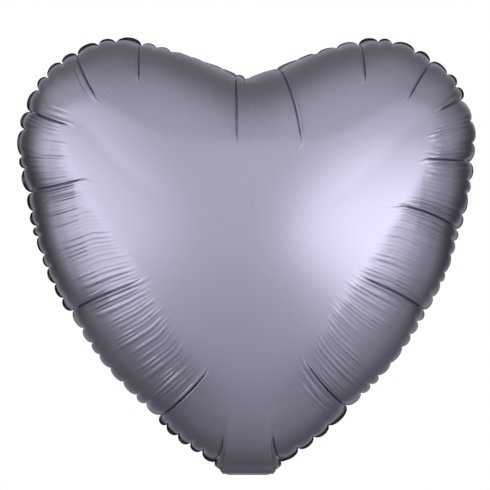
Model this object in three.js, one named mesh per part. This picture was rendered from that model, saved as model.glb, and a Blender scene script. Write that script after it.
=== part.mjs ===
// A heart-shaped foil balloon, inflated, with its flat tail folded up behind it. Millimetres, +Z up.
// The origin is the middle of the fold at the neck, and the front of the balloon faces -Y.
// Real film is about 0.03 mm thick. Each film here is thicker, so that it is a solid with a gap to the next.
import * as THREE from 'three';

const { Vector2, Vector3 } = THREE;
const { cos, sin } = Math;
const { degToRad, lerp } = THREE.MathUtils;

// The outer edge of the heart's sealed border
const LOBE_CENTRE = new Vector2(104.3, 276.6);
const LOBE_RADIUS = 90.7;
const LOBE_END = degToRad(-12);
const NOTCH_HEIGHT = 335;
const NECK_HALF_WIDTH = 22.7;
const NECK_START = 1;
const FLANK_TOP_REACH = 70;
const FLANK_LOW_REACH = 162;
const FLANK_LOW_ANGLE = degToRad(34);
const BORDER_WIDTH = 4.5;
const EDGE_COLUMNS = 38;
const NECK_COLUMNS = 4;

// The inflated form
const HALF_DEPTH = 100;
const CROWN = new Vector2(0, 215);
const CROWN_RADIUS = 130;
const LEVELS = [0.985, 0.95, 0.88, 0.78, 0.64, 0.46, 0.24];
const FULLNESS = 0.38;
const NECK_TAPER = { amount: 0.24, spread: degToRad(24), towards: degToRad(-90) };
const NOTCH_TAPER = { amount: 0.09, spread: degToRad(18), towards: degToRad(90) };

// Films
const FOIL = 0.55;
const VALVE_FILM = 0.4;
const GAP = 0.3;
const NECK_CLEARANCE = GAP / 2 + VALVE_FILM + GAP;

// Valve sleeve
const VALVE_HALF_WIDTH = 16;
const VALVE_TOP = 110;
const VALVE_START = 3;
const VALVE_CORNER = 3;
const MOUTH_START = 3;
const MOUTH_LENGTH = 38;

// Tail
const FOLD_BEHIND = 1.8;
const FOLDED_ANGLE = degToRad(128);
const TAIL_START = 1;
const TAIL_LENGTH = 50;
const TAIL_HALF_WIDTH = 19;
const TAIL_SHOULDER = 9;
const TAIL_CORNER = 4;

const foil = new THREE.MeshStandardMaterial({ color: 0x97929f, roughness: 0.35, metalness: 1 });
const valveFilm = new THREE.MeshStandardMaterial({
  color: 0xdde0e4, roughness: 0.3, metalness: 0, transparent: true, opacity: 0.6,
});

// The right half of the heart's outer edge, from the neck up the flank and round the lobe to the notch
function halfEdge() {
  const flankTop = onLobe(LOBE_END);
  const down = new Vector2(sin(LOBE_END), -cos(LOBE_END));
  const neck = new Vector2(NECK_HALF_WIDTH, NECK_START);
  const neckHandle = new Vector2(cos(FLANK_LOW_ANGLE), sin(FLANK_LOW_ANGLE)).multiplyScalar(FLANK_LOW_REACH);
  const topHandle = down.multiplyScalar(FLANK_TOP_REACH);
  const path = new THREE.Path();
  path.moveTo(neck.x, neck.y);
  path.bezierCurveTo(
    neck.x + neckHandle.x, neck.y + neckHandle.y,
    flankTop.x + topHandle.x, flankTop.y + topHandle.y,
    flankTop.x, flankTop.y,
  );
  path.absarc(LOBE_CENTRE.x, LOBE_CENTRE.y, LOBE_RADIUS, LOBE_END, tangentAngle(), false);
  path.lineTo(0, NOTCH_HEIGHT);
  return path;
}

function onLobe(angle) {
  return new Vector2(cos(angle), sin(angle)).multiplyScalar(LOBE_RADIUS).add(LOBE_CENTRE);
}

// Where the straight edge up from the notch meets the lobe's circle
function tangentAngle() {
  const toNotch = new Vector2(0, NOTCH_HEIGHT).sub(LOBE_CENTRE);
  return toNotch.angle() - Math.acos(LOBE_RADIUS / toNotch.length());
}

// Each column runs from a point on the outer edge, over the border, to the crown. Its clearance is half the
// gap between the two panels, which opens at the neck to let the valve through.
function edgeColumns() {
  const path = halfEdge();
  const right = [];
  for (let i = 0; i <= EDGE_COLUMNS; i += 1) {
    const along = i / EDGE_COLUMNS;
    const edge = path.getPointAt(along);
    const tangent = path.getTangentAt(along);
    const inward = i === EDGE_COLUMNS ? new Vector2(0, -1) : new Vector2(-tangent.y, tangent.x);
    const seam = edge.clone().addScaledVector(inward, BORDER_WIDTH);
    right.push({ edge, seam, clearance: GAP / 2 });
  }
  const left = right.slice(0, -1).reverse().map(mirrored);
  return [...right, ...left, ...neckColumns()];
}

function mirrored({ edge, seam, clearance }) {
  return { edge: new Vector2(-edge.x, edge.y), seam: new Vector2(-seam.x, seam.y), clearance };
}

function neckColumns() {
  const columns = [];
  const halfWidth = VALVE_HALF_WIDTH + 1.5;
  for (let i = 0; i < NECK_COLUMNS; i += 1) {
    const x = lerp(-halfWidth, halfWidth, i / (NECK_COLUMNS - 1));
    const edge = new Vector2(x, NECK_START);
    const seam = new Vector2(x, NECK_START + BORDER_WIDTH);
    columns.push({ edge, seam, clearance: NECK_CLEARANCE });
  }
  return columns;
}

// How far a point at this level stands out of the border's plane. The form is full and round, but tapers
// to a cone at the neck and to a cleft at the notch.
function rise(level, direction) {
  let power = FULLNESS;
  for (const { amount, spread, towards } of [NECK_TAPER, NOTCH_TAPER]) {
    const away = Math.acos(cos(direction - towards)) / spread;
    power += amount * Math.exp(-away * away);
  }
  return HALF_DEPTH * (1 - level * level) ** power;
}

// A point on the panel's outer face: level 1 is the seam and level 0 the crown. The level curves go from
// the heart's outline to a circle, and the room for the valve counts only close to the neck.
function domePoint({ seam, clearance }, level, side) {
  const out = seam.clone().sub(CROWN);
  const circle = out.clone().setLength(CROWN_RADIUS);
  const place = circle.lerp(out, level * level).multiplyScalar(level).add(CROWN);
  const room = lerp(GAP / 2, clearance, level ** 8);
  return new Vector3(place.x, side * (room + FOIL + rise(level, out.angle())), place.y);
}

function panel(name, side) {
  const columns = edgeColumns();
  const tip = new Vector3(CROWN.x, side * (HALF_DEPTH + GAP / 2 + FOIL), CROWN.y);
  const outer = [
    columns.map(({ edge, clearance }) => new Vector3(edge.x, side * (clearance + FOIL), edge.y)),
    columns.map(({ seam, clearance }) => new Vector3(seam.x, side * (clearance + FOIL), seam.y)),
    ...LEVELS.map((level) => columns.map((column) => domePoint(column, level, side))),
  ];
  const inner = outer.map((row, level) => row.map((point, i) => innerPoint(outer, level, i, columns[i], side)));
  const innerTip = tip.clone().setY(tip.y - side * FOIL);
  const mesh = new THREE.Mesh(shell(outer, tip, inner, innerTip, side < 0), foil);
  mesh.name = name;
  return mesh;
}

// The inner face lies one film's thickness behind the outer one
function innerPoint(rows, level, i, { clearance }, side) {
  const point = rows[level][i].clone();
  if (level === 0) {
    return point.setY(side * clearance);
  }
  if (level === 1) {
    const inward = new Vector3(CROWN.x, point.y, CROWN.y).sub(point).setLength(FOIL);
    return point.add(inward).setY(side * clearance);
  }
  const count = rows[level].length;
  const along = rows[level][(i + 1) % count].clone().sub(rows[level][(i + count - 1) % count]);
  const above = rows[Math.min(level + 1, rows.length - 1)][i];
  const across = above.clone().sub(rows[level - 1][i]);
  const normal = along.cross(across).normalize();
  return point.addScaledVector(normal, normal.y * side > 0 ? -FOIL : FOIL);
}

// One closed body from two matching sets of rings, each closed by its tip, and joined round their first rings
function shell(outer, outerTip, inner, innerTip, frontFacing) {
  const positions = [];
  const triangles = [];
  const count = outer[0].length;
  const addFace = (rows, tip, flip) => {
    const base = positions.length / 3;
    rows.flat().forEach((point) => positions.push(...point.toArray()));
    positions.push(...tip.toArray());
    const at = (row, i) => base + row * count + (i % count);
    const peak = base + rows.length * count;
    const add = (a, b, c) => triangles.push(...(flip ? [a, c, b] : [a, b, c]));
    for (let i = 0; i < count; i += 1) {
      for (let row = 0; row + 1 < rows.length; row += 1) {
        add(at(row, i), at(row, i + 1), at(row + 1, i + 1));
        add(at(row, i), at(row + 1, i + 1), at(row + 1, i));
      }
      add(at(rows.length - 1, i), at(rows.length - 1, i + 1), peak);
    }
    return base;
  };
  const outerBase = addFace(outer, outerTip, !frontFacing);
  const innerBase = addFace(inner, innerTip, frontFacing);
  for (let i = 0; i < count; i += 1) {
    const next = (i + 1) % count;
    const rim = [
      [innerBase + i, innerBase + next, outerBase + next],
      [innerBase + i, outerBase + next, outerBase + i],
    ];
    rim.forEach(([a, b, c]) => triangles.push(...(frontFacing ? [a, b, c] : [a, c, b])));
  }
  const geometry = new THREE.BufferGeometry();
  geometry.setAttribute('position', new THREE.Float32BufferAttribute(positions, 3));
  geometry.setIndex(triangles);
  geometry.computeVertexNormals();
  return geometry;
}

// A flat film of the given outline, standing in the XZ plane between y and y - thickness
function flatFilm(name, outline, thickness, y, material) {
  const geometry = new THREE.ExtrudeGeometry(outline, { depth: thickness, bevelEnabled: false, curveSegments: 4 });
  geometry.rotateX(Math.PI / 2);
  const mesh = new THREE.Mesh(geometry, material);
  mesh.name = name;
  mesh.position.y = y;
  return mesh;
}

// The tail's outline, hanging: it narrows from the neck and has two round corners
function tailOutline() {
  const shape = new THREE.Shape();
  const low = -TAIL_LENGTH;
  const middle = -TAIL_SHOULDER / 2;
  shape.moveTo(NECK_HALF_WIDTH, -TAIL_START);
  shape.lineTo(-NECK_HALF_WIDTH, -TAIL_START);
  shape.bezierCurveTo(-NECK_HALF_WIDTH, middle, -TAIL_HALF_WIDTH, middle, -TAIL_HALF_WIDTH, -TAIL_SHOULDER);
  shape.lineTo(-TAIL_HALF_WIDTH, low + TAIL_CORNER);
  shape.quadraticCurveTo(-TAIL_HALF_WIDTH, low, -TAIL_HALF_WIDTH + TAIL_CORNER, low);
  shape.lineTo(TAIL_HALF_WIDTH - TAIL_CORNER, low);
  shape.quadraticCurveTo(TAIL_HALF_WIDTH, low, TAIL_HALF_WIDTH, low + TAIL_CORNER);
  shape.lineTo(TAIL_HALF_WIDTH, -TAIL_SHOULDER);
  shape.bezierCurveTo(TAIL_HALF_WIDTH, middle, NECK_HALF_WIDTH, middle, NECK_HALF_WIDTH, -TAIL_START);
  return shape;
}

// A stretch of the valve's sleeve, with its two free corners round
function valveOutline(square, free) {
  const shape = new THREE.Shape();
  const corner = Math.sign(square - free) * VALVE_CORNER;
  shape.moveTo(-VALVE_HALF_WIDTH, square);
  shape.lineTo(-VALVE_HALF_WIDTH, free + corner);
  shape.quadraticCurveTo(-VALVE_HALF_WIDTH, free, -VALVE_HALF_WIDTH + VALVE_CORNER, free);
  shape.lineTo(VALVE_HALF_WIDTH - VALVE_CORNER, free);
  shape.quadraticCurveTo(VALVE_HALF_WIDTH, free, VALVE_HALF_WIDTH, free + corner);
  shape.lineTo(VALVE_HALF_WIDTH, square);
  shape.closePath();
  return shape;
}

function envelope() {
  const group = new THREE.Group();
  const sleeve = valveOutline(VALVE_START, VALVE_TOP);
  group.add(panel('front_panel', -1));
  group.add(panel('back_panel', 1));
  group.add(flatFilm('valve_front_ply', sleeve, VALVE_FILM, -GAP / 2, valveFilm));
  group.add(flatFilm('valve_back_ply', sleeve, VALVE_FILM, GAP / 2 + VALVE_FILM, valveFilm));
  return group;
}

// The tail turns about the fold, a line along X just behind the films of the neck
function tail() {
  const hanging = new THREE.Group();
  const leaf = tailOutline();
  const mouth = valveOutline(-MOUTH_START, -MOUTH_LENGTH);
  hanging.add(flatFilm('front_tail_leaf', leaf, FOIL, -NECK_CLEARANCE, foil));
  hanging.add(flatFilm('back_tail_leaf', leaf, FOIL, NECK_CLEARANCE + FOIL, foil));
  hanging.add(flatFilm('valve_front_mouth', mouth, VALVE_FILM, -GAP / 2, valveFilm));
  hanging.add(flatFilm('valve_back_mouth', mouth, VALVE_FILM, GAP / 2 + VALVE_FILM, valveFilm));
  hanging.position.y = -FOLD_BEHIND;
  const fold = new THREE.Group();
  fold.position.y = FOLD_BEHIND;
  fold.rotation.x = FOLDED_ANGLE;
  fold.add(hanging);
  return fold;
}

const balloon = new THREE.Group();
balloon.name = 'heart_foil_balloon';
balloon.add(envelope());
balloon.add(tail());

export default balloon;
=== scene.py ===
"""A heart-shaped foil balloon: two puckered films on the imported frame, with a soft studio round it."""
import math

import bpy
import numpy as np
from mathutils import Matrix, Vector, kdtree


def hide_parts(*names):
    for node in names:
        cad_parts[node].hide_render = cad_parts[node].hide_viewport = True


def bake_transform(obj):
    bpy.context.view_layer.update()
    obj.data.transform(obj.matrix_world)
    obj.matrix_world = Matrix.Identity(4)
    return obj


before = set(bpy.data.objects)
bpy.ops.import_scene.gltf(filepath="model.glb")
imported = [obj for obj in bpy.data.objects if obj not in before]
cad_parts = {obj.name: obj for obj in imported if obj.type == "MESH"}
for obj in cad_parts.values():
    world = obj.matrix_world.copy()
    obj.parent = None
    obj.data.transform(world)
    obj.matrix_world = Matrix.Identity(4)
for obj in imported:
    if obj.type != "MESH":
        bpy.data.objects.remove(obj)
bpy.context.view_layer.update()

MM = 0.001
FRONT, BACK = -1, 1

# The sizes named from here to the first function are in millimetres unless a comment says otherwise.
# Places are as in the frame: x to the right, z up from the fold at the neck.

# Heart outline
LOBE_CENTRE = np.array([104.3, 276.6])
LOBE_RADIUS = 90.0
LOBE_END = math.radians(-9)
NOTCH = np.array([0.0, 335.0])
NECK_HALF_WIDTH = 22.7
NECK_TOP = 1.5
FLANK_TOP_REACH = 78.0
FLANK_LOW_REACH = 168.0
FLANK_LOW_ANGLE = math.radians(34)
BORDER = 4.2
NECK_BORDER = 0.5
EDGE_BLURS = 40

# The inner form follows the outline with its corners rounded off, over bearings from the crown: the step
# between the bearings in degrees, how many steps the rounding reaches each way, and its width in steps.
# The higher SEAM_CORNER_POWER is, the closer to the seam the corners end.
BEARING_STEP = 0.5
ROUNDING_REACH = 60
ROUNDING_WIDTH = 22.0
SEAM_CORNER_POWER = 14

# Inflated form. Above the neck the film is flat for NECK_FLAT before it puckers, and the front film bags by
# NECK_BAG.
CROWN = np.array([0.0, 215.0])
CROWN_RADIUS = 130.0
HALF_DEPTH = 99.0
FULLNESS = 0.42
NECK_TAPER = 0.10
NECK_TAPER_SPREAD = math.radians(26)
NOTCH_TAPER = 0.08
NOTCH_TAPER_SPREAD = math.radians(20)
NECK_FLAT = 4
NECK_FLAT_EASE = 14
NECK_BAG = 3.0
NECK_BAG_RISE = 4
NECK_BAG_END = 24
NECK_BAG_EASE = 16
NECK_BAG_SIDE = 10

# The ridge round the middle of each film, where the gathered flanks meet the taut middle: its right half,
# from the cleft down to the neck
RIDGE = [(0, 270), (44, 273), (77, 283), (122, 307), (152, 298), (144, 260), (124, 225), (86, 167),
         (41, 94), (17, 58), (0, 49)]
RIDGE_SLOPE = 0.12
RIDGE_TOP_SHARE = 0.7
RIDGE_ROUND = 1.0
RIDGE_SPREAD = 24.0
RIDGE_FALL = 2.6
RIDGE_TOP_START = 230
RIDGE_TOP_EASE = 60
RIDGE_LOW_END = 55.0
RIDGE_LOW_EASE = 70
RIDGE_EASE = 24
RIDGE_GRID = 1.6
RIDGE_GRID_X = (-204, 205)
RIDGE_GRID_Z = (-12, 376)

# Gathers: how far they draw the seam in, how far apart they are, how far they furrow the film, and the
# short cuts where they start. There are none within TAUT_LENGTH of the notch, and they fade in over
# CALM_LENGTH from the neck.
LONG_NOTCH = 3.4
SHORT_NOTCH = (2.6, 4.6)
GATHER_SPACING = (13, 19)
GATHER_UNEVEN = 0.25
GATHER_REACH = (30, 50)
GATHER_CUT = 1.6
GATHER_CUT_REACH = 4
GATHER_CUT_GROWTH = 5
GATHER_CUT_WIDTH = 0.5
GATHER_NEAR = 6
TAUT_LENGTH = 52.0
TAUT_EASE = 12
CALM_LENGTH = 16

# Seam and sealed border: how the seam swells and wanders, and how much of the border's width shows
SEAM_EASE = 2.1
SEAM_EASE_REACH = 60
SEAM_SWAY = 1.2
SEAM_SWAY_REACH = 9
SEAM_MIX = 6
SWAY_WAVE = 26
LEAN_WAVE = 47
LEAN_UNEVEN = 0.15
BORDER_HIDDEN = 0.4
BORDER_SHOWN = 3.7
FIRST_BORDER_SHARE = 0.9

# Pillows, the swollen film between two long creases
PILLOW_SWELL = 1.8
PILLOW_DEPTH = 3.0
PILLOW_REACH = 70.0
PILLOW_SOFT_REACH = 30
PILLOW_SOFTENING = 4

# Long creases: a valley, a narrow cut in it, a bright lip, and lesser creases alongside
CREASE_NEAR = 45
VALLEY_DEPTH = 1.6
VALLEY_WIDTH = 1.6
VALLEY_GROWTH = 6.0
CUT_DEPTH = 4.0
CUT_WIDTH = 0.34
CUT_GROWTH = 0.16
LIP_HEIGHT = 0.6
LIP_OFFSET = 1.9
LIP_WIDTH = 1.1
COMPANION_DEPTH = 0.9
COMPANION_WIDTH = 0.6
COMPANION_LIP = 0.4
COMPANION_LIP_OFFSET = 1.7
COMPANION_LIP_WIDTH = 1.2
COMPANION_BEGINS = (0.15, 0.35)
COMPANION_ENDS = (0.85, 1.15)
COMPANION_STRENGTH = (0.3, 0.6)

# How far the back film's creases differ from the front's: by degrees, by shares of the reach and the depth,
# and by millimetres for the lesser ones
VARIED_HEADING = 9
VARIED_REACH = (0.75, 1.2)
VARIED_DEPTH = (0.85, 1.1)
VARIED_OFFSET = 1.5

# How the columns bend to follow the long creases: by no more than SHIFT_LIMIT of the way to the neck
SHIFT_LIMIT = 0.5
CREASE_STEPS = 31
ANGLE_STEPS = 71
INNERMOST_ANGLE = 1.4

# Ripples: their size, how long they run, how unevenly they lie, and how strong they are by the distance
# along the seam from the notch or from the neck
RIPPLE_HEIGHT = 1.35
RIPPLE_HEIGHT_SHARE = (0.3, 1.0)
RIPPLE_LENGTH = 3.9
RIPPLE_DISTANCE = 62.0
RIPPLE_REACH = (20, 46)
RIPPLE_UNEVEN_START = 2.5
RIPPLE_START_EASE = 3.5
RIPPLE_TAIL = 14
RIPPLE_END_EASE = 26
RIPPLE_ROUND = 0.02
RIPPLE_MIDDLE = 0.14
SLOW_WAVE, QUICK_WAVE, PATCH_WAVE = 140, 24, 55
SLOW_SHIFT, QUICK_SHIFT = 4.5, 2.0
CROWDING = 0.35
PATCHINESS = 0.3
STRENGTH_AT_CREASE = 1.15
LOSS_ON_PILLOW = 0.5
FLANK_START = 195
FLANK_EASE = 40
FLANK_END = 45
FLANK_END_EASE = 50
CLEFT_STRENGTH = 0.9
CLEFT_LENGTH = 45
CLEFT_EASE = 20
WEAKEST_RIPPLES = 0.14
LONGER_RIPPLES = 1.2
LONGER_WITHIN = 190

# Tail: it turns about a line along X behind the neck
FOLD_Y = 1.8
FOLDED = math.radians(128)
FILM_APART = 0.9
SEALED_APART = 0.12
TAIL_LENGTH = 50.0
TAIL_HALF_WIDTH = 19.0
TAIL_SHOULDER = 9.0
TAIL_CORNER = 4.0
TAIL_WAVE = 160
TAIL_WAVE_HEIGHT = 0.35
TAIL_WAVE_EASE = 12
TAIL_BEND_ROWS = 24
TAIL_ROWS = 36
VALVE_HALF_WIDTH = 16.0
VALVE_MARGIN = 3

# A point on the tail's hinge line, the way the folded tail's outer face looks, and how far the back film
# keeps inside the plane through that point which faces the same way
HINGE = np.array([0.0, FOLD_Y, 0.0])
OUTWARD = np.array([0.0, math.sin(FOLDED - math.pi / 2), -math.cos(FOLDED - math.pi / 2)])
TAIL_CLEARANCE = 1.0

# Mesh: the spacing of its columns along the seam, and of its rings from the seam in. Beyond each distance
# in THINNED_BEYOND the rings keep half as many columns as before.
SEAM_SPACING = 0.9
RIPPLE_SPACING = 0.6
CREASE_SPACING = 0.16
CREASE_HALF_WIDTH = 1.2
SPACING_GROWTH = 0.3
FINE_STEPS = 1600
COLUMNS = 1920
NECK_COLUMNS = 47
COLUMN_LENGTH = 215.0
CROWN_HOLE = 3
FIRST_RING_STEP = 0.7
LAST_RING_STEP = 2.6
RING_GROWTH = 1.14
THINNED_BEYOND = (82, 125, 170)
THINNED_STRETCH = 0.5

# Seeds of the random draws
SEAM_SEED = 5
FRONT_SEED = 11
BACK_SEED = 23
BACK_CREASE_SEED = 7


def smooth(t):
    t = np.clip(t, 0.0, 1.0)
    return t * t * (3 - 2 * t)


def bump(t):
    return np.exp(-t * t)


def unit(angle):
    return np.array([math.cos(angle), math.sin(angle)])


# ---------------------------------------------------------------- outline

def right_half():
    """A dense line along the right half of the outer edge, from the neck to the notch."""
    lobe_start = LOBE_CENTRE + LOBE_RADIUS * unit(LOBE_END)
    neck = np.array([NECK_HALF_WIDTH, NECK_TOP])
    neck_handle = neck + FLANK_LOW_REACH * unit(FLANK_LOW_ANGLE)
    top_handle = lobe_start - FLANK_TOP_REACH * unit(LOBE_END + math.pi / 2)
    t = np.linspace(0, 1, 600)[:, None]
    flank = (1 - t) ** 3 * neck + 3 * (1 - t) ** 2 * t * neck_handle
    flank = flank + 3 * (1 - t) * t * t * top_handle + t ** 3 * lobe_start
    to_notch = NOTCH - LOBE_CENTRE
    reach = math.hypot(*to_notch)
    lobe_end = math.atan2(to_notch[1], to_notch[0]) - math.acos(LOBE_RADIUS / reach)
    angles = np.linspace(LOBE_END, lobe_end, 400)[1:, None]
    lobe = LOBE_CENTRE + LOBE_RADIUS * np.hstack([np.cos(angles), np.sin(angles)])
    slope = lobe[-1] + np.linspace(0, 1, 200)[1:, None] * (NOTCH - lobe[-1])
    return np.vstack([flank, lobe, slope])


def evenly(line, count):
    """count points evenly along a line, and the distance between them."""
    steps = np.hypot(*np.diff(line, axis=0).T)
    along = np.concatenate([[0], np.cumsum(steps)])
    places = np.linspace(0, along[-1], count)
    points = np.column_stack([np.interp(places, along, line[:, k]) for k in (0, 1)])
    return points, places[1]


class Outline:
    """The heart's outer edge and the seam inside it, by the distance u along the edge. u starts at the
    right end of the neck, goes up the right side, down the left side and back across the neck."""

    def __init__(self):
        half, step = evenly(right_half(), FINE_STEPS + 1)
        heart = np.vstack([half, half[:-1][::-1] * [-1, 1]])
        self.heart_length = step * (len(heart) - 1)
        self.length = self.heart_length + 2 * NECK_HALF_WIDTH
        tangent = np.gradient(heart, axis=0)
        tangent /= np.hypot(*tangent.T)[:, None]
        inward = np.column_stack([-tangent[:, 1], tangent[:, 0]])
        x = np.linspace(-NECK_HALF_WIDTH, NECK_HALF_WIDTH, round(2 * NECK_HALF_WIDTH / step) + 1)[1:-1]
        neck = np.column_stack([x, np.full(len(x), NECK_TOP)])
        self.u = np.concatenate([np.arange(len(heart)) * step, self.heart_length + NECK_HALF_WIDTH + x])
        self.edge = np.vstack([heart, neck])
        self.inward = self.softened(np.vstack([inward, np.tile([0.0, 1.0], (len(neck), 1))]))
        width = np.where(np.arange(len(self.edge)) < len(heart), BORDER, NECK_BORDER)
        self.border = self.blurred(width[:, None].astype(float))[:, 0]
        self.seam = self.edge + self.border[:, None] * self.inward
        out = self.seam - CROWN
        self.reach = np.hypot(*out.T)
        self.bearing = np.degrees(np.arctan2(out[:, 1], out[:, 0]))
        self.soft_reach = self.softened_reach()

    @staticmethod
    def blurred(rows):
        """Evens out rows of numbers over a few millimetres of the outline."""
        for _ in range(EDGE_BLURS):
            rows = (np.roll(rows, 1, axis=0) + 2 * rows + np.roll(rows, -1, axis=0)) / 4
        return rows

    def softened(self, vectors):
        """Turns the corners of the outline gently."""
        out = self.blurred(vectors)
        return out / np.hypot(*out.T)[:, None]

    def softened_reach(self):
        """How far the seam is from the crown, with the corners at the notch and the neck rounded off."""
        order = np.argsort(self.bearing)
        grid = np.arange(-180, 180, BEARING_STEP)
        even = np.interp(grid, self.bearing[order], self.reach[order], period=360)
        offsets = np.arange(-ROUNDING_REACH, ROUNDING_REACH + 1)
        weights = bump(offsets / ROUNDING_WIDTH)
        rounded = sum(w * np.roll(even, k) for w, k in zip(weights, offsets)) / weights.sum()
        return np.interp(self.bearing, grid, rounded, period=360)

    def at(self, values, u):
        """Interpolates one of the arrays above at any distance u."""
        if values.ndim == 1:
            return np.interp(u, self.u, values, period=self.length)
        return np.column_stack([np.interp(u, self.u, column, period=self.length) for column in values.T])

    def u_at(self, bearing):
        """The place along the seam at a bearing from the crown, in degrees."""
        order = np.argsort(self.bearing)
        return float(np.interp(bearing, self.bearing[order], self.u[order], period=360))

    def is_neck(self, u):
        return (u > self.heart_length + 1e-6) & (u < self.length - 1e-6)


outline = Outline()


# ---------------------------------------------------------------- macro form

def closed_curve(half, steps=60):
    """A smooth closed curve through the points of its right half and their mirror images."""
    points = np.array(half + [(-x, z) for x, z in half[-2:0:-1]], float)
    before, after = np.roll(points, 1, axis=0), np.roll(points, -1, axis=0)
    beyond = np.roll(points, -2, axis=0)
    t = np.linspace(0, 1, steps, endpoint=False)[None, :, None]
    a, b, c, d = (part[:, None, :] for part in (before, points, after, beyond))
    square, cube = 2 * a - 5 * b + 4 * c - d, 3 * b - a - 3 * c + d
    curve = 0.5 * (2 * b + (c - a) * t + square * t ** 2 + cube * t ** 3)
    return curve.reshape(-1, 2)


class Ridge:
    """How far every place is outside the ridge, and how far the ridge lifts the film there, on a square
    grid seen from the front."""

    def __init__(self):
        self.x = np.arange(*RIDGE_GRID_X, RIDGE_GRID)
        self.z = np.arange(*RIDGE_GRID_Z, RIDGE_GRID)
        x, z = (part.ravel() for part in np.meshgrid(self.x, self.z))
        curve = closed_curve(RIDGE)
        tree = kdtree.KDTree(len(curve))
        for i, (a, b) in enumerate(curve.tolist()):
            tree.insert((a, 0.0, b), i)
        tree.balance()
        nearest = np.array([tree.find((a, 0.0, b))[1] for a, b in zip(x.tolist(), z.tolist())])
        ahead = np.roll(curve, -1, axis=0) - np.roll(curve, 1, axis=0)
        ahead /= np.hypot(*ahead.T)[:, None]
        offset = np.column_stack([x, z]) - curve[nearest]
        side = np.sign(ahead[nearest, 0] * offset[:, 1] - ahead[nearest, 1] * offset[:, 0])
        distance = side * np.hypot(*offset.T)
        self.outside = distance.reshape(len(self.z), len(self.x))
        away = np.sqrt(distance ** 2 + RIDGE_ROUND ** 2) - RIDGE_ROUND
        near_top = smooth((z - RIDGE_TOP_START) / RIDGE_TOP_EASE)
        slope = RIDGE_SLOPE * (1 - (1 - RIDGE_TOP_SHARE) * near_top)
        slope = slope * smooth((z - RIDGE_LOW_END) / RIDGE_LOW_EASE)
        fall = np.clip(1 - away / (RIDGE_FALL * RIDGE_SPREAD), 0, 1) ** RIDGE_FALL
        lift = slope * RIDGE_SPREAD * fall
        self.lift = self.blurred(lift.reshape(self.outside.shape))

    @staticmethod
    def blurred(field):
        """Rounds off the kinks in a field on the grid."""
        for axis in (0, 1):
            for _ in range(3):
                field = (np.roll(field, 1, axis) + 2 * field + np.roll(field, -1, axis)) / 4
        return field

    def sample(self, field, x, z):
        across = np.clip((x - self.x[0]) / RIDGE_GRID, 0, len(self.x) - 1.001)
        up = np.clip((z - self.z[0]) / RIDGE_GRID, 0, len(self.z) - 1.001)
        i, j = across.astype(int), up.astype(int)
        a, b = across - i, up - j
        low = field[j, i] * (1 - a) + field[j, i + 1] * a
        high = field[j + 1, i] * (1 - a) + field[j + 1, i + 1] * a
        return low * (1 - b) + high * b


def level_radius(angle, u):
    """How far from the crown a column has got at an angle, and how far its seam is."""
    reach = outline.at(outline.reach, u)
    soft_reach = outline.at(outline.soft_reach, u)
    level = math.cos(angle)
    far = soft_reach + (reach - soft_reach) * level ** SEAM_CORNER_POWER
    return level * (CROWN_RADIUS * (1 - level ** 2) + far * level ** 2), reach


def form(angle, u):
    """Points of the smooth inflated form, at an angle from 0 at the seam to a quarter turn at the crown."""
    radius, reach = level_radius(angle, u)
    direction = (outline.at(outline.seam, u) - CROWN) / reach[:, None]
    off_neck = np.arccos(np.clip(-direction[:, 1], -1, 1)) / NECK_TAPER_SPREAD
    off_notch = np.arccos(np.clip(direction[:, 1], -1, 1)) / NOTCH_TAPER_SPREAD
    taper = NECK_TAPER * bump(off_neck) + NOTCH_TAPER * bump(off_notch)
    power = FULLNESS + taper * math.cos(angle) ** 2
    rise = HALF_DEPTH * math.sin(angle) ** (2 * power)
    return np.column_stack([CROWN[0] + radius * direction[:, 0], rise, CROWN[1] + radius * direction[:, 1]])


def apart(x):
    """Half the gap between the two films: closed where they are sealed, open round the valve."""
    inside = (VALVE_HALF_WIDTH + VALVE_MARGIN - np.abs(x)) / VALVE_MARGIN
    return SEALED_APART + (FILM_APART - SEALED_APART) * smooth(inside)


# ---------------------------------------------------------------- creases

# Long creases, in order round the seam: the bearing of the start from the crown, in degrees; the way it
# heads, in degrees; how far it reaches, in mm; its depth, where 1 is the usual one; its bow, in mm; the
# side of its bright lip; the offsets in mm of the lesser creases beside it; and the share of the sealed
# border that shows between it and the next one.
CREASES = [
    (-82.5, 108, 26, 0.6, 0, 1, (), 0.95),
    (-62.3, 131, 58, 1.0, -2, -1, (-5, -11), 0.3),
    (-27.8, 153, 65, 1.1, 1.5, -1, (5, -5, -11), 0.3),
    (-3.4, 161, 56, 1.0, 1.5, -1, (-5, 6), 0.45),
    (13.9, -179, 47, 1.0, -1, -1, (5, -6), 0.1),
    (28.7, -152, 29, 0.8, 0, 1, (5,), 0.9),
    (40.4, -124, 45, 0.8, 1, 1, (), 0.9),
    (57.5, -89, 38, 0.7, 0, 1, (), 0.5),
    (78.6, -76, 68, 1.0, -2, -1, (), 0.1),
    (91.4, -90, 12, 0.9, 0, 1, (), 0.1),
    (94.7, -89, 61, 1.0, 0, 1, (), 0.35),
    (121.6, -86, 38, 0.7, 0, 1, (), 1.0),
    (136.4, -62, 48, 0.8, 1, 1, (5,), 1.0),
    (154.2, -22, 44, 1.0, 1.5, -1, (-5, -10), 1.0),
    (173.5, 9, 55, 1.0, 1, 1, (5, 10), 0.9),
    (208.0, 24, 69, 1.1, -1, 1, (-5, 5, 11), 0.2),
    (246.0, 46, 62, 1.0, 1.5, -1, (-6, -12, -19), 1.0),
    (262.5, 72, 26, 0.6, 0, 1, (), 0.9),
]


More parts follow.
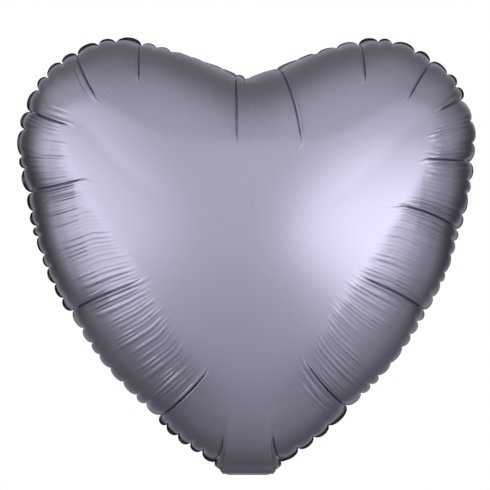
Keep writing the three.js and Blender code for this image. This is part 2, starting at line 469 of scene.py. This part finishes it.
def varied(creases, rng):
    """The same starts, with the creases running a little differently, for the other film."""
    found = []
    for bearing, heading, reach, depth, bow, lip, companions, show in creases:
        heading += rng.uniform(-VARIED_HEADING, VARIED_HEADING)
        reach *= rng.uniform(*VARIED_REACH)
        companions = tuple(offset + rng.uniform(-VARIED_OFFSET, VARIED_OFFSET) for offset in companions)
        depth *= rng.uniform(*VARIED_DEPTH)
        found.append((bearing, heading, reach, depth, -bow, lip, companions, show))
    return found


class Gather:
    """How the columns of one film run in from the seam, bent to follow its long creases."""

    def __init__(self, creases):
        self.rows = []
        ends = [(0.0, [0, 1], [0, 0]), (outline.heart_length, [0, 1], [0, 0])]
        angles = np.linspace(0, INNERMOST_ANGLE, ANGLE_STEPS)
        t = np.linspace(0, 1, CREASE_STEPS)
        for bearing, heading, reach, depth, bow, lip, companions, _ in creases:
            start = outline.u_at(bearing)
            ahead = unit(math.radians(heading))
            aside = np.array([ahead[1], -ahead[0]])
            line = outline.at(outline.seam, np.array([start])) - CROWN
            line = line + reach * t[:, None] * ahead + 4 * bow * (t * (1 - t))[:, None] * aside
            along = np.array([outline.u_at(math.degrees(math.atan2(z, x))) for x, z in line])
            radii = np.array([level_radius(angle, along)[0] for angle in angles])
            at_angle = [np.interp(-far, -radii[:, i], angles) for i, far in enumerate(np.hypot(*line.T))]
            at_angle = np.maximum.accumulate(at_angle)
            half = outline.length / 2
            shift = (along - start + half) % outline.length - half
            limit = SHIFT_LIMIT * min(start, outline.heart_length - start)
            ends.append((start, at_angle, np.clip(shift, -limit, limit)))
            self.rows.append((start, at_angle, t, depth, lip, companions))
        self.ends = sorted(ends, key=lambda end: end[0])

    def follow(self, angle, u):
        """The place along the seam that lies straight outside each column, at an angle."""
        shifts = [np.interp(angle, at_angle, shift) for _, at_angle, shift in self.ends]
        return u + np.interp(u, [end[0] for end in self.ends], shifts, period=outline.length)

    def points(self, angle, u):
        return form(angle, self.follow(angle, u))

    def columns(self):
        """Where the columns start: closer together at the long creases and where ripples need them."""
        u = np.linspace(0, outline.heart_length, 12001)
        inner = self.points(RIPPLE_DISTANCE / COLUMN_LENGTH * math.pi / 2, u)
        stretch = np.linalg.norm(np.gradient(inner, axis=0), axis=1) / (u[1] - u[0])
        spacing = np.minimum(SEAM_SPACING, RIPPLE_SPACING / stretch)
        for start, *_ in self.rows:
            off = np.maximum(np.abs(u - start) - CREASE_HALF_WIDTH, 0)
            spacing = np.minimum(spacing, CREASE_SPACING + SPACING_GROWTH * off)
        counted = np.concatenate([[0], np.cumsum(1 / spacing[1:])])
        wanted = np.linspace(0, counted[-1], COLUMNS - NECK_COLUMNS)
        heart = np.interp(wanted, counted, u)
        neck = outline.heart_length + np.linspace(0, 2 * NECK_HALF_WIDTH, NECK_COLUMNS + 2)[1:-1]
        return np.concatenate([heart, neck])


class Wobble:
    """A smooth random line, periodic round the outline, between about -1 and 1."""

    def __init__(self, rng, wavelength, waves=7):
        cycles = outline.length / wavelength
        self.cycles = np.maximum(1, np.round(cycles * rng.uniform(0.6, 1.5, waves)))
        self.phase = rng.uniform(0, 2 * math.pi, waves)
        self.gain = rng.uniform(0.5, 1.0, waves)
        self.gain /= self.gain.sum() * 0.55

    def __call__(self, u):
        turn = 2 * math.pi * np.asarray(u)[..., None] / outline.length
        return np.tanh((self.gain * np.sin(turn * self.cycles + self.phase)).sum(-1))


def arch(t):
    """A round-topped arch over t from 0 to 1."""
    return np.sqrt(np.clip(4 * t * (1 - t), 0, 1))


class Seam:
    """What both films share where they are sealed: the gathers that draw the seam in, and the border."""

    def __init__(self, rng):
        starts = [outline.u_at(crease[0]) for crease in CREASES]
        shares = [FIRST_BORDER_SHARE] + [crease[-1] for crease in CREASES]
        self.stretches = list(zip([0.0] + starts, starts + [outline.heart_length], shares))
        self.gathers = []
        for low, high, _ in self.stretches:
            count = max(1, round((high - low) / rng.uniform(*GATHER_SPACING)))
            edges = np.linspace(low, high, count + 1)
            edges[1:-1] += rng.uniform(-GATHER_UNEVEN, GATHER_UNEVEN, count - 1) * (high - low) / count
            self.gathers.append((low, LONG_NOTCH))
            self.gathers += [(edge, rng.uniform(*SHORT_NOTCH)) for edge in edges[1:-1]]
        self.gathers.append((outline.heart_length, LONG_NOTCH))
        self.sway = Wobble(rng, SWAY_WAVE)
        self.lean = Wobble(rng, LEAN_WAVE)

    def pillow(self, u):
        """Between two long creases the film swells: 0 at the creases, 1 half way between them."""
        swell = np.zeros_like(u)
        for low, high, _ in self.stretches:
            inside = (u >= low) & (u <= high)
            swell[inside] = arch((u[inside] - low) / (high - low))
        return swell

    def calm(self, u):
        """0 at the neck and just beside it, where the seam lies flat, and 1 everywhere else."""
        beside = np.minimum(u, outline.heart_length - u)
        return smooth(beside / CALM_LENGTH)

    def slope(self, u):
        """1 on the straight slopes beside the notch, where the seam is taut."""
        from_notch = np.abs(u - outline.heart_length / 2)
        return smooth((TAUT_LENGTH + TAUT_EASE - from_notch) / TAUT_EASE)

    def scallop(self, u):
        """How far the gathers draw the film in at the seam."""
        drawn = np.zeros_like(u)
        for (low, first), (high, last) in zip(self.gathers[:-1], self.gathers[1:]):
            inside = (u >= low) & (u <= high)
            t = (u[inside] - low) / (high - low)
            drawn[inside] = (first * (1 - t) + last * t) * (1 - arch(t))
        return drawn * self.fold(u)

    def fold(self, u):
        """1 where the gathers fold the film, and 0 where it is taut or flat."""
        return (1 - self.slope(u)) * self.calm(u)

    def drawn_in(self, u):
        """How far the seam lies inside its smooth line."""
        swell = PILLOW_SWELL * (1 - self.pillow(u)) - SEAM_EASE
        return self.scallop(u) + swell * self.calm(u)

    def border_width(self, u):
        """How much of the border's width shows from the front; the rest leans back."""
        width = np.full_like(u, BORDER_HIDDEN)
        for low, high, show in self.stretches:
            inside = (u >= low) & (u <= high)
            width[inside] += show * (BORDER_SHOWN - BORDER_HIDDEN)
        round_top = np.zeros_like(u)
        for (low, _), (high, _) in zip(self.gathers[:-1], self.gathers[1:]):
            inside = (u >= low) & (u <= high)
            round_top[inside] = arch((u[inside] - low) / (high - low))
        uneven = 1 - LEAN_UNEVEN + LEAN_UNEVEN * self.lean(u)
        width = BORDER_HIDDEN + (width - BORDER_HIDDEN) * uneven * round_top ** 0.5
        return width + (BORDER - width) * (1 - self.calm(u))


def crease_push(across, q, depth, lip):
    """How far a long crease pushes the film in, by the distance across it and by q, the share of its length
    that is passed."""
    left = np.clip(1 - q, 0, 1)
    slope = np.exp(-np.abs(across) / (VALLEY_WIDTH + VALLEY_GROWTH * left))
    valley = VALLEY_DEPTH * depth * left ** 1.3 * slope
    cut = CUT_DEPTH * depth * smooth(left * 5) * bump(across / (CUT_WIDTH + CUT_GROWTH * left))
    raised = LIP_HEIGHT * smooth((q - 0.15) / 0.3) * smooth((1.1 - q) / 0.2)
    raised = raised * bump((across - LIP_OFFSET * lip) / LIP_WIDTH)
    return valley + cut - raised


def ripples(passed, outside, strength, begins, longer, rng):
    """How high the fine ripples that end at the ridge lift the film. passed counts the ripples on the way
    round; outside is the distance from the ridge."""
    number = np.floor(passed).astype(int)
    part = passed - number
    total = number.max() + 1
    height = rng.uniform(*RIPPLE_HEIGHT_SHARE, total)[number]
    start = begins + rng.uniform(-RIPPLE_UNEVEN_START, RIPPLE_UNEVEN_START, total)[number]
    length = rng.uniform(*RIPPLE_REACH, total)[number] * longer
    window = smooth((outside - start) / RIPPLE_START_EASE)
    window = window * smooth((start + length + RIPPLE_TAIL - outside) / RIPPLE_END_EASE)
    crest = np.sqrt(np.sin(math.pi * part) ** 2 + RIPPLE_ROUND) - RIPPLE_MIDDLE
    return RIPPLE_HEIGHT * height * strength * window * crest


# ---------------------------------------------------------------- films

def ring_distances():
    """How far each ring is from the seam over the film, and how many columns there are to each it keeps."""
    distance, step = 0.0, FIRST_RING_STEP
    rings = []
    while distance < COLUMN_LENGTH - CROWN_HOLE:
        divide = 2 ** sum(distance > limit for limit in THINNED_BEYOND)
        rings.append((distance, divide))
        distance += step * (1 + THINNED_STRETCH * (divide > 1))
        step = min(step * RING_GROWTH, LAST_RING_STEP)
    return rings


class FilmMesh:
    """Vertices and faces of one film, in millimetres."""

    def __init__(self):
        self.vertices = []
        self.faces = []
        self.count = 0
        self.border_faces = []
        self.seam = []

    def add(self, points):
        """Adds a row of points and returns their numbers."""
        points = np.asarray(points, float)
        numbers = np.arange(self.count, self.count + len(points))
        self.vertices.append(points)
        self.count += len(points)
        return numbers

    def strip(self, low, high, closed=True):
        """Joins two rows of the same length, or a row to one with half as many points."""
        if closed:
            low = np.append(low, low[0])
            high = np.append(high, high[0])
        if len(low) == len(high):
            self.faces += np.column_stack([low[:-1], low[1:], high[1:], high[:-1]]).tolist()
            return
        a, b, c = low[0:-2:2], low[1:-1:2], low[2::2]
        self.faces += np.column_stack([a, b, high[:-1]]).tolist()
        self.faces += np.column_stack([b, high[1:], high[:-1]]).tolist()
        self.faces += np.column_stack([b, c, high[1:]]).tolist()

    def fan(self, ring, tip):
        self.faces += [[int(a), int(b), int(tip)] for a, b in zip(ring, np.roll(ring, -1))]

    def build(self, name, flip, materials):
        faces = [face[::-1] for face in self.faces] if flip else self.faces
        mesh = bpy.data.meshes.new(name)
        mesh.from_pydata((np.vstack(self.vertices) * MM).tolist(), [], faces)
        for material in materials:
            mesh.materials.append(material)
        numbers = np.zeros(len(faces), dtype=np.int32)
        numbers[self.border_faces] = 1
        mesh.polygons.foreach_set("material_index", numbers)
        mesh.update()
        mesh.shade_smooth()
        on_seam = np.zeros(self.count, dtype=bool)
        on_seam[self.seam] = True
        ends = np.zeros(2 * len(mesh.edges), dtype=np.int32)
        mesh.edges.foreach_get("vertices", ends)
        mesh.edges.foreach_set("use_edge_sharp", on_seam[ends].reshape(-1, 2).all(1))
        obj = bpy.data.objects.new(name, mesh)
        bpy.context.scene.collection.objects.link(obj)
        return obj


def fold_path(distance, gap):
    """Where a film goes below the neck: down, round the fold and up behind. gap is its distance in front
    of the middle of the two films."""
    down = NECK_TOP
    radius = FOLD_Y + gap
    bend = radius * FOLDED
    turn = np.clip((distance - down) / radius, 0, FOLDED)
    past = np.maximum(distance - down - bend, 0)
    y = FOLD_Y - radius * np.cos(turn) + past * math.sin(FOLDED)
    z = -radius * np.sin(turn) - past * math.cos(FOLDED)
    z = np.where(distance < down, down - distance, z)
    return y, z


def add_border(mesh, u, side, sealed):
    """The sealed border, which leans back from the seam by different amounts all round."""
    seam = outline.at(outline.seam, u)
    inward = outline.at(outline.inward, u)
    in_neck = outline.is_neck(u)
    drawn = np.where(in_neck, 0.0, sealed.drawn_in(u))
    width = outline.at(outline.border, u)
    shows = np.where(in_neck, width, np.minimum(sealed.border_width(u), width))
    leans = np.sqrt(np.maximum(width ** 2 - shows ** 2, 0))
    previous = None
    for part in (1.0, 0.5):
        flat = seam + inward * (drawn - shows * part)[:, None]
        z = np.where(in_neck & (part == 1.0), NECK_TOP, flat[:, 1])
        y = side * sealed_gap(u) + seam_sway(u, sealed) + leans * part
        ring = mesh.add(np.column_stack([flat[:, 0], y, z]))
        if previous is not None:
            mesh.strip(previous, ring)
        previous = ring
    return previous


def sealed_gap(u):
    """Half the gap between the films at the seam: open across the neck, where the valve passes."""
    x = np.where(outline.is_neck(u), outline.at(outline.edge, u)[:, 0], NECK_HALF_WIDTH)
    return apart(x)


def seam_sway(u, sealed):
    """How far the seam wanders out of its plane."""
    return np.where(outline.is_neck(u), 0.0, SEAM_SWAY * sealed.sway(u) * sealed.calm(u))


def surface_normals(grid):
    """The outward normals of a grid of points, ring by ring."""
    across = (np.roll(grid, -1, axis=1) - np.roll(grid, 1, axis=1)) / 2
    upward = np.gradient(grid, axis=0)
    normal = np.cross(across, upward)
    normal /= np.linalg.norm(normal, axis=-1)[..., None]
    from_crown = grid - np.array([CROWN[0], 0, CROWN[1]])
    return normal * np.sign((normal * from_crown).sum(-1))[..., None]


def puckers(u, distance, stretch, outside, gather, sealed, rng):
    """How far in the film lies at each point of the grid, from its pillows, creases, gathers and
    ripples."""
    push = np.zeros_like(distance)
    swell = np.where(outline.is_neck(u), 1.0, sealed.pillow(u))
    softer = swell ** (1 + PILLOW_SOFTENING * smooth(distance / PILLOW_SOFT_REACH))
    push += PILLOW_DEPTH * (1 - softer) * np.clip(1 - distance / PILLOW_REACH, 0, 1) ** 1.5
    angle = distance[:, :1] / COLUMN_LENGTH * math.pi / 2
    for start, at_angle, along, depth, lip, companions in gather.rows:
        near = np.abs(u - start) < CREASE_NEAR
        across = (u[near] - start) * stretch[:, near]
        q = np.interp(angle, at_angle, along)
        q = q + np.maximum(angle - at_angle[-1], 0) / at_angle[-1]
        push[:, near] += crease_push(across, q, depth, lip)
        for offset in companions:
            begins = rng.uniform(*COMPANION_BEGINS)
            ends = rng.uniform(*COMPANION_ENDS)
            strength = rng.uniform(*COMPANION_STRENGTH)
            later = np.clip((q - begins) / (ends - begins), 0, 1)
            shape = smooth(later * 5) * smooth((1 - later) * 3)
            beside = (across - offset - COMPANION_LIP_OFFSET * lip) / COMPANION_LIP_WIDTH
            push[:, near] += strength * COMPANION_DEPTH * shape * bump((across - offset) / COMPANION_WIDTH)
            push[:, near] -= COMPANION_LIP * COMPANION_DEPTH * strength * shape * bump(beside)
    places = [place for place, _ in sealed.gathers]
    reach = np.interp(u, places, rng.uniform(*GATHER_REACH, len(sealed.gathers)))
    push += np.where(outline.is_neck(u), 0.0, sealed.scallop(u)) * smooth(1 - distance / reach)
    for place, depth in sealed.gathers:
        near = np.abs(u - place) < GATHER_NEAR
        across = (u[near] - place) * stretch[:, near]
        fades = smooth(1 - distance[:, near] / (GATHER_CUT_REACH + GATHER_CUT_GROWTH * depth))
        push[:, near] += GATHER_CUT * (fades * sealed.fold(place)) * bump(across / GATHER_CUT_WIDTH)
    eased = np.where(outline.is_neck(u), 0.0, SEAM_EASE * sealed.calm(u))
    push -= eased * np.clip(1 - distance / SEAM_EASE_REACH, 0, 1)

    ring = int(np.argmin(np.abs(distance[:, 0] - RIPPLE_DISTANCE)))
    slow, quick, patch = (Wobble(rng, wave) for wave in (SLOW_WAVE, QUICK_WAVE, PATCH_WAVE))
    passed = np.cumsum(stretch[ring] * np.gradient(u)) / RIPPLE_LENGTH + CROWDING * quick(u)
    from_notch = np.abs(u - outline.heart_length / 2)
    from_neck = outline.heart_length / 2 - from_notch
    flank = smooth((from_notch - FLANK_START) / FLANK_EASE)
    flank = flank * smooth((from_neck - FLANK_END) / FLANK_END_EASE)
    cleft = CLEFT_STRENGTH * smooth((CLEFT_LENGTH - from_notch) / CLEFT_EASE)
    strength = np.maximum(np.maximum(flank, cleft), WEAKEST_RIPPLES)
    strength = strength * (1 - PATCHINESS + PATCHINESS * patch(u))
    strength = strength * sealed.calm(u) * (STRENGTH_AT_CREASE - LOSS_ON_PILLOW * swell)
    strength = np.where(outline.is_neck(u), 0.0, strength)
    begins = SLOW_SHIFT * slow(u) + QUICK_SHIFT * quick(u)
    heart_passed = np.broadcast_to(np.maximum(passed - passed.min(), 0), outside.shape)
    longer = 1 + LONGER_RIPPLES * smooth((LONGER_WITHIN - from_notch) / FLANK_EASE)
    push -= ripples(heart_passed, outside, strength, begins, longer, rng)
    return push


def pressed_in(points):
    """How far the folded tail, which lies against the back film, presses it in at each point."""
    beyond = (points - HINGE) @ OUTWARD + TAIL_CLEARANCE
    return (beyond + np.sqrt(beyond ** 2 + TAIL_CLEARANCE ** 2)) / 2


def add_envelope(mesh, u, side, gather, sealed, ridge, rng, previous):
    """The inflated part of the film, ring by ring from the seam to the crown."""
    rings = ring_distances()
    angles = [distance / COLUMN_LENGTH * math.pi / 2 for distance, _ in rings]
    grid = np.stack([gather.points(angle, u) for angle in angles])
    distance = np.broadcast_to(np.array([[distance] for distance, _ in rings]), grid.shape[:2])
    outside = ridge.sample(ridge.outside, grid[..., 0], grid[..., 2])
    grid[..., 1] += ridge.sample(ridge.lift, grid[..., 0], grid[..., 2]) * smooth(distance / RIDGE_EASE)
    gaps = (np.roll(u, -1) - np.roll(u, 1)) % outline.length
    stretch = np.linalg.norm(np.roll(grid, -1, axis=1) - np.roll(grid, 1, axis=1), axis=-1) / gaps
    normal = surface_normals(grid)
    inward = outline.at(outline.inward, u)
    normal[0] = np.column_stack([-inward[:, 0], np.zeros(len(u)), -inward[:, 1]])

    in_neck = outline.is_neck(u)
    push = puckers(u, distance, stretch, outside, gather, sealed, rng)
    push *= np.where(in_neck, smooth((distance - NECK_FLAT) / NECK_FLAT_EASE), 1.0)
    if side == FRONT:
        beside = np.minimum(u, outline.heart_length - u)
        bag = NECK_BAG * smooth(distance / NECK_BAG_RISE)
        bag = bag * smooth((NECK_BAG_END - distance) / NECK_BAG_EASE)
        push -= bag * smooth((NECK_BAG_SIDE - beside) / NECK_BAG_SIDE)
    drawn = np.where(in_neck, 0.0, sealed.drawn_in(u))
    mix = smooth(distance / SEAM_MIX)
    push = drawn * (1 - mix) + push * mix
    moved = grid - normal * push[..., None]
    gap = sealed_gap(u) * (1 - mix) + SEALED_APART * mix
    y = side * (gap + moved[..., 1]) + seam_sway(u, sealed) * np.exp(-distance / SEAM_SWAY_REACH)
    points = np.stack([moved[..., 0], y, moved[..., 2]], axis=-1)
    if side == BACK:
        points -= (pressed_in(points) * mix)[..., None] * OUTWARD
    for row, (_, divide) in enumerate(rings):
        ring = mesh.add(points[row, ::divide])
        mesh.strip(previous, ring)
        if row == 0:
            mesh.seam = ring[:COLUMNS - NECK_COLUMNS]
            strips = np.arange(len(mesh.faces))
            mesh.border_faces = strips[strips % COLUMNS < COLUMNS - NECK_COLUMNS - 1]
        previous = ring
    middle = points[-1, ::rings[-1][1]].mean(0)
    mesh.fan(previous, mesh.add([middle])[0])


def add_tail(mesh, neck, side, rng):
    """The film below the neck: round the fold and up behind the heart. neck numbers its top row."""
    fraction = np.linspace(-1, 1, len(neck))
    previous = neck
    bend = np.linspace(0, 1, TAIL_BEND_ROWS)[1:] * TAIL_SHOULDER
    straight = np.linspace(0, 1, TAIL_ROWS)[1:] * (TAIL_LENGTH - TAIL_SHOULDER) + TAIL_SHOULDER
    ripple = Wobble(rng, TAIL_WAVE)
    for distance in np.concatenate([bend, straight]):
        narrowed = (TAIL_HALF_WIDTH - NECK_HALF_WIDTH) * smooth(distance / TAIL_SHOULDER)
        half_width = NECK_HALF_WIDTH + narrowed
        x = fraction * half_width
        into_corner = np.maximum(np.abs(x) - (half_width - TAIL_CORNER), 0)
        shortened = TAIL_CORNER - np.sqrt(np.maximum(TAIL_CORNER ** 2 - into_corner ** 2, 0))
        open_part = smooth((VALVE_HALF_WIDTH + VALVE_MARGIN - np.abs(x)) / (2 * VALVE_MARGIN))
        wave = TAIL_WAVE_HEIGHT * smooth((distance - TAIL_SHOULDER) / TAIL_WAVE_EASE)
        wave = wave * (1 + ripple(x * 3 + distance * 2.3)) * open_part
        own_distance = distance - shortened * (distance / TAIL_LENGTH) ** 6
        y, z = fold_path(own_distance, -side * apart(x) + (side == FRONT) * wave)
        ring = mesh.add(np.column_stack([x, y, z]))
        mesh.strip(previous, ring, closed=False)
        previous = ring


def make_film(name, side, creases, sealed, ridge, seed, materials):
    rng = np.random.default_rng(seed)
    gather = Gather(creases)
    u = gather.columns()
    mesh = FilmMesh()
    border = add_border(mesh, u, side, sealed)
    add_envelope(mesh, u, side, gather, sealed, ridge, rng, border)
    first_neck = COLUMNS - NECK_COLUMNS
    neck = np.concatenate([[first_neck - 1], np.arange(first_neck, COLUMNS), [0]])
    add_tail(mesh, neck, side, rng)
    return mesh.build(name, side == BACK, materials)


# ---------------------------------------------------------------- materials

def foil_material(name, colour, smoothest, roughest):
    """Satin metallised film, a little uneven in its gloss, with a fine grain."""
    material = bpy.data.materials.new(name)
    material.use_nodes = True
    tree = material.node_tree
    shader = tree.nodes["Principled BSDF"]
    shader.inputs["Metallic"].default_value = 1.0
    shader.inputs["Base Color"].default_value = (*colour, 1)
    place = tree.nodes.new("ShaderNodeTexCoord")
    cloud = tree.nodes.new("ShaderNodeTexNoise")
    cloud.inputs["Scale"].default_value = 22
    cloud.inputs["Detail"].default_value = 4
    rough = tree.nodes.new("ShaderNodeMapRange")
    rough.inputs["To Min"].default_value = smoothest
    rough.inputs["To Max"].default_value = roughest
    tree.links.new(place.outputs["Object"], cloud.inputs["Vector"])
    tree.links.new(cloud.outputs["Fac"], rough.inputs["Value"])
    tree.links.new(rough.outputs["Result"], shader.inputs["Roughness"])
    grain = tree.nodes.new("ShaderNodeTexNoise")
    grain.inputs["Scale"].default_value = 2600
    grain.inputs["Detail"].default_value = 2
    relief = tree.nodes.new("ShaderNodeBump")
    relief.inputs["Strength"].default_value = 0.04
    relief.inputs["Distance"].default_value = 0.0001
    tree.links.new(place.outputs["Object"], grain.inputs["Vector"])
    tree.links.new(grain.outputs["Fac"], relief.inputs["Height"])
    tree.links.new(relief.outputs["Normal"], shader.inputs["Normal"])
    return material


def valve_material():
    material = bpy.data.materials.new("valve_film")
    material.use_nodes = True
    tree = material.node_tree
    shader = tree.nodes["Principled BSDF"]
    shader.inputs["Base Color"].default_value = (0.82, 0.84, 0.87, 1)
    shader.inputs["Alpha"].default_value = 0.6
    streaks = tree.nodes.new("ShaderNodeTexNoise")
    streaks.inputs["Scale"].default_value = 60
    rough = tree.nodes.new("ShaderNodeMapRange")
    rough.inputs["To Min"].default_value = 0.25
    rough.inputs["To Max"].default_value = 0.42
    tree.links.new(streaks.outputs["Fac"], rough.inputs["Value"])
    tree.links.new(rough.outputs["Result"], shader.inputs["Roughness"])
    return material


# ---------------------------------------------------------------- studio

# What the foil mirrors: each lamp's bearing round the object in degrees (0 towards the camera, more to the
# right), its height, its half-width and the width of its soft edge, all in degrees, and its strength
LAMPS = [
    (-63, -4, 1, 36, 0.72),
    (46, -6, 1, 30, 0.95),
    (8, -1, 15, 90, 0.45),
    (-74, 30, 16, 15, 0.19),
    (180, 0, 5, 50, 0.22),
]
ROOM = 0.11
ROOM_COLOUR = (1.0, 0.98, 1.145, 1)

# Dark places in the room: bearing, height, half-width, edge, and how much of the light they take away
SHADES = [(-120, 0, 10, 22, 0.9), (120, 0, 10, 22, 0.9), (0, -60, 12, 36, 0.2)]


def towards(bearing, height):
    turn, lift = math.radians(bearing), math.radians(height)
    return Vector((math.cos(lift) * math.sin(turn), -math.cos(lift) * math.cos(turn), math.sin(lift)))


def make_world():
    """White to the camera and to matt surfaces. The foil mirrors a dim room with soft lamps, dark at its
    sides and below."""
    world = bpy.data.worlds.new("studio")
    bpy.context.scene.world = world
    world.use_nodes = True
    tree = world.node_tree
    nodes, links = tree.nodes, tree.links
    place = nodes.new("ShaderNodeTexCoord")

    def soft_spot(direction, inner, outer, low, high):
        """A value of high within an angle of a direction, falling to low at a wider angle."""
        dot = nodes.new("ShaderNodeVectorMath")
        dot.operation = "DOT_PRODUCT"
        dot.inputs[1].default_value = direction
        links.new(place.outputs["Generated"], dot.inputs[0])
        soft = nodes.new("ShaderNodeMapRange")
        soft.interpolation_type = "SMOOTHSTEP"
        soft.inputs["From Min"].default_value = math.cos(math.radians(outer))
        soft.inputs["From Max"].default_value = math.cos(math.radians(inner))
        soft.inputs["To Min"].default_value = low
        soft.inputs["To Max"].default_value = high
        links.new(dot.outputs["Value"], soft.inputs["Value"])
        return soft.outputs["Result"]

    def combined(operation, first, second):
        node = nodes.new("ShaderNodeMath")
        node.operation = operation
        links.new(first, node.inputs[0])
        links.new(second, node.inputs[1])
        return node.outputs["Value"]

    room = nodes.new("ShaderNodeValue")
    room.outputs["Value"].default_value = ROOM
    total = room.outputs["Value"]
    for bearing, height, half_width, edge, strength in LAMPS:
        lamp = soft_spot(towards(bearing, height), half_width, half_width + edge, 0, strength)
        total = combined("ADD", total, lamp)
    for bearing, height, half_width, edge, taken in SHADES:
        shade = soft_spot(towards(bearing, height), half_width, half_width + edge, 1, 1 - taken)
        total = combined("MULTIPLY", total, shade)
    mirrored = nodes["Background"]
    mirrored.inputs["Color"].default_value = ROOM_COLOUR
    links.new(total, mirrored.inputs["Strength"])
    seen = nodes.new("ShaderNodeBackground")
    seen.inputs["Color"].default_value = (1, 1, 1, 1)
    path = nodes.new("ShaderNodeLightPath")
    mix = nodes.new("ShaderNodeMixShader")
    links.new(path.outputs["Is Glossy Ray"], mix.inputs["Fac"])
    links.new(seen.outputs["Background"], mix.inputs[1])
    links.new(mirrored.outputs["Background"], mix.inputs[2])
    links.new(mix.outputs["Shader"], nodes["World Output"].inputs["Surface"])


def make_floor():
    mesh = bpy.data.meshes.new("floor")
    half, level = 1.4, -0.30
    corners = [(-half, -half, level), (half, -half, level), (half, half, level), (-half, half, level)]
    mesh.from_pydata(corners, [], [(0, 1, 2, 3)])
    floor = bpy.data.objects.new("floor", mesh)
    bpy.context.scene.collection.objects.link(floor)
    material = bpy.data.materials.new("floor")
    material.use_nodes = True
    material.node_tree.nodes["Principled BSDF"].inputs["Base Color"].default_value = (0.95, 0.95, 0.95, 1)
    material.node_tree.nodes["Principled BSDF"].inputs["Roughness"].default_value = 0.9
    mesh.materials.append(material)
    floor.visible_glossy = False


def make_camera():
    camera = bpy.data.cameras.new("camera")
    camera.lens = 100
    view_width, view_height, view_side = 413.6 * MM, 191.6 * MM, -2.5 * MM
    obj = bpy.data.objects.new("camera", camera)
    obj.location = (view_side, -view_width * camera.lens / camera.sensor_width, view_height)
    obj.rotation_euler = (math.pi / 2, 0, 0)
    bpy.context.scene.collection.objects.link(obj)
    bpy.context.scene.camera = obj
    bpy.context.scene.view_settings.view_transform = "Standard"


make_camera()
make_world()
make_floor()

foil = foil_material("foil", (0.66, 0.645, 0.725), 0.30, 0.34)
# The sealed border is the same foil as the films. Its near-black colour is painted shade, so the slivers of
# border at the edge look shadowed.
painted_shade_border = foil_material("painted_shade_border", (0.12, 0.115, 0.13), 0.16, 0.22)
sealed = Seam(np.random.default_rng(SEAM_SEED))
ridge = Ridge()

front_film = make_film("front_film", FRONT, CREASES, sealed, ridge, FRONT_SEED, [foil, painted_shade_border])
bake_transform(front_film)
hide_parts("front_panel", "front_tail_leaf")

back_creases = varied(CREASES, np.random.default_rng(BACK_CREASE_SEED))
back_film = make_film("back_film", BACK, back_creases, sealed, ridge, BACK_SEED, [foil, painted_shade_border])
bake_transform(back_film)
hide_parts("back_panel", "back_tail_leaf")

valve = valve_material()
for name in ("valve_front_ply", "valve_back_ply", "valve_front_mouth", "valve_back_mouth"):
    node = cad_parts[name]
    node.data.materials.clear()
    node.data.materials.append(valve)
